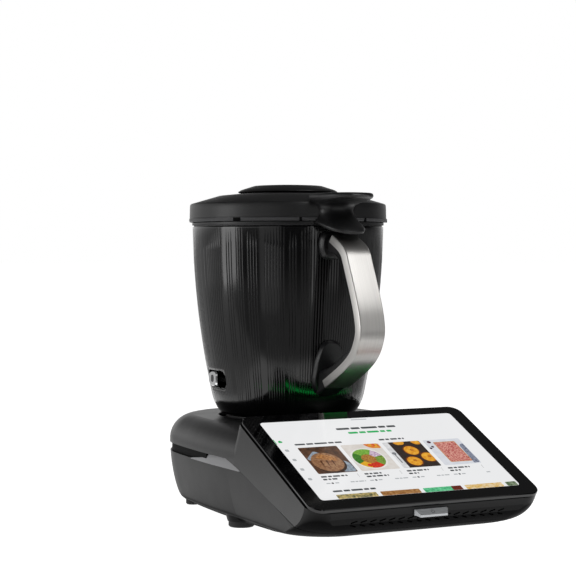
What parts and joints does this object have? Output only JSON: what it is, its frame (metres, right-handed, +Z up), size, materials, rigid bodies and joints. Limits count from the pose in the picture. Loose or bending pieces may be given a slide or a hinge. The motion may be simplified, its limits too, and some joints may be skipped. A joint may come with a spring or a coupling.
{
  "type": "heated food processor",
  "caption": "Heated food processor: black base with a tilted touch screen, lift-out steel-lined jug with handle and knife, lid with thumb tab and a measuring cup.",
  "frame": {"origin": "floor level, under the middle of the object's bounding box", "axes": "+Z up; -Y is the front, where the screen slopes down to; +X is the user's right"},
  "size_m": [0.253, 0.405, 0.3447],
  "materials": {
    "casing_black": "fine satin moulded black casing",
    "lid_black": "satin moulded black",
    "sleeve_black": "polished black with fine upright ribs",
    "grip_black": "satin black grip",
    "vent_black": "dull dark grille",
    "screen_glass": "black printed cover glass",
    "display": "lit display, pale page",
    "steel_brushed": "brushed along its length",
    "steel_pot": "drawn and satin polished",
    "chrome": "bright plated",
    "aluminium": "fine blasted and anodised",
    "rubber": "dull",
    "seal": "grey silicone",
    "light": "lit green diffuser",
    "circuit": "green solder mask",
    "brass": "bright contact brass",
    "plated_steel": "zinc plated",
    "winding": "laminated core"
  },
  "bodies": {
    "base": {"upper_housing": "casing_black", "lower_shell": "casing_black", "vent_liner": "vent_black", "screen_glass": "screen_glass", "display_panel": "display", "screen_tray": "vent_black", "light_bar": "light", "front_grille": "vent_black", "front_feet": "rubber", "rear_feet": "rubber", "load_cells": "aluminium", "base_screws": "plated_steel", "chassis_plate": "plated_steel", "motor_bracket": "aluminium", "lower_bearing": "plated_steel", "upper_bearing": "plated_steel", "motor_stator": "winding", "main_board": "circuit", "board_posts": "plated_steel", "heatsink": "aluminium", "power_supply": "plated_steel", "speaker": "vent_black", "mains_inlet": "vent_black", "inlet_pins": "brass", "contact_socket": "vent_black", "seat_ring": "seal", "tab_bracket": "vent_black"},
    "rotor": {"motor_rotor": "winding", "motor_shaft": "plated_steel", "cooling_fan": "vent_black", "drive_coupling": "plated_steel"},
    "tab": {"power_tab": "aluminium", "tab_spring": "plated_steel"},
    "bowl": {"bowl_sleeve": "sleeve_black", "bowl_liner": "steel_pot", "bowl_foot": "grip_black", "handle_strip": "steel_brushed", "handle_grip": "grip_black", "handle_screws": "plated_steel", "heater_ring": "aluminium", "contact_pins": "brass", "blade_bush": "brass"},
    "knife": {"blade_shaft": "plated_steel", "drive_dog": "plated_steel", "blade_set": "steel_pot", "blade_nut": "steel_pot"},
    "latch": {"latch_lever": "chrome", "latch_ring": "plated_steel"},
    "lid": {"lid_shell": "lid_black", "lid_plate": "lid_black", "lid_seal": "seal"},
    "cup": {"measuring_cup": "lid_black"}
  },
  "joints": [
    {"name": "bowl_lift", "type": "slide", "parent": "base", "child": "bowl", "axis": [0, 0, 1], "range_m": [0, 0.07]},
    {"name": "lid_lift", "type": "slide", "parent": "bowl", "child": "lid", "axis": [0, 0, 1], "range_m": [0, 0.04]},
    {"name": "cup_lift", "type": "slide", "parent": "lid", "child": "cup", "axis": [0, 0, 1], "range_m": [0, 0.05]},
    {"name": "motor_spin", "type": "hinge", "parent": "base", "child": "rotor", "pos_m": [0, 0.0825, 0.05], "axis": [0, 0, 1], "continuous": true},
    {"name": "knife_spin", "type": "hinge", "parent": "bowl", "child": "knife", "pos_m": [0, 0.0825, 0.12], "axis": [0, 0, 1], "continuous": true},
    {"name": "latch_turn", "type": "hinge", "parent": "bowl", "child": "latch", "pos_m": [0, 0.0825, 0.142], "axis": [0, 0, 1], "range_deg": [0, 10]},
    {"name": "tab_press", "type": "slide", "parent": "base", "child": "tab", "axis": [0, 1, 0], "range_m": [0, 0.0015], "stiffness_N_per_m": 800, "deforming": ["tab_spring"]}
  ],
  "couplings": [
    {"joint": "knife_spin", "follows": "motor_spin", "ratio": 1}
  ]
}
